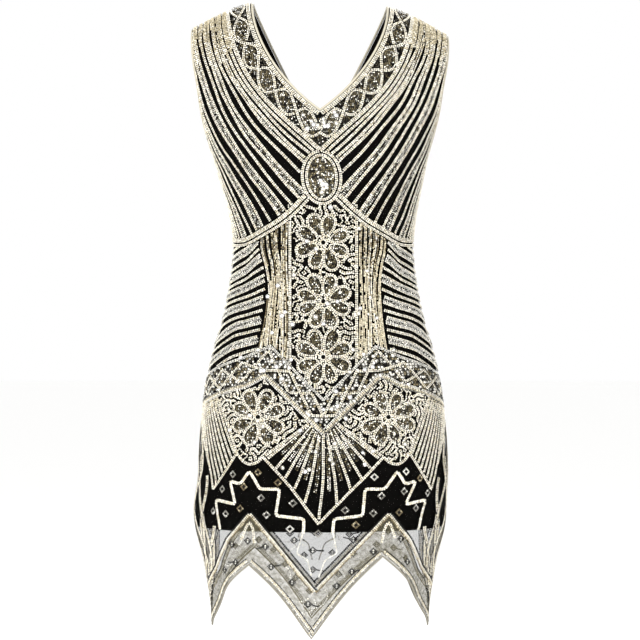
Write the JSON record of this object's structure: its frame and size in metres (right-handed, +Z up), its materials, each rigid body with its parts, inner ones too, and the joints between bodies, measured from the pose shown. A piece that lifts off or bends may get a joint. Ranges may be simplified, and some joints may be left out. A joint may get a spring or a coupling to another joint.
{
  "type": "sleeveless beaded flapper dress",
  "caption": "Worn, hollow sleeveless shift dress of beaded net over a plain lining, V neck front and back, zigzag hem below a level lining hem.",
  "frame": {"origin": "midway between the two shoulder seams, level with their neck ends, where the wearer's shoulders carry the dress", "axes": "+Z up, the front faces -Y, +X to the right of someone who looks at the front"},
  "size_m": [0.366, 0.2409, 0.8922],
  "materials": {
    "beaded_net": "fine black net, sheer below the lining, covered in beads and sequins above it",
    "lining": "matt black woven lining",
    "cream_beads": "small glossy cream and champagne beads",
    "bronze_beads": "small glossy dark champagne beads and sequins",
    "sequins": "flat sequins with a metallic champagne and silver face"
  },
  "bodies": {
    "root": {"front_panel": "beaded_net", "back_panel": "beaded_net", "front_lining": "lining", "back_lining": "lining", "neck_binding": "cream_beads", "armhole_binding_left": "cream_beads", "armhole_binding_right": "cream_beads", "hem_edging": "bronze_beads"}
  },
  "joints": []
}
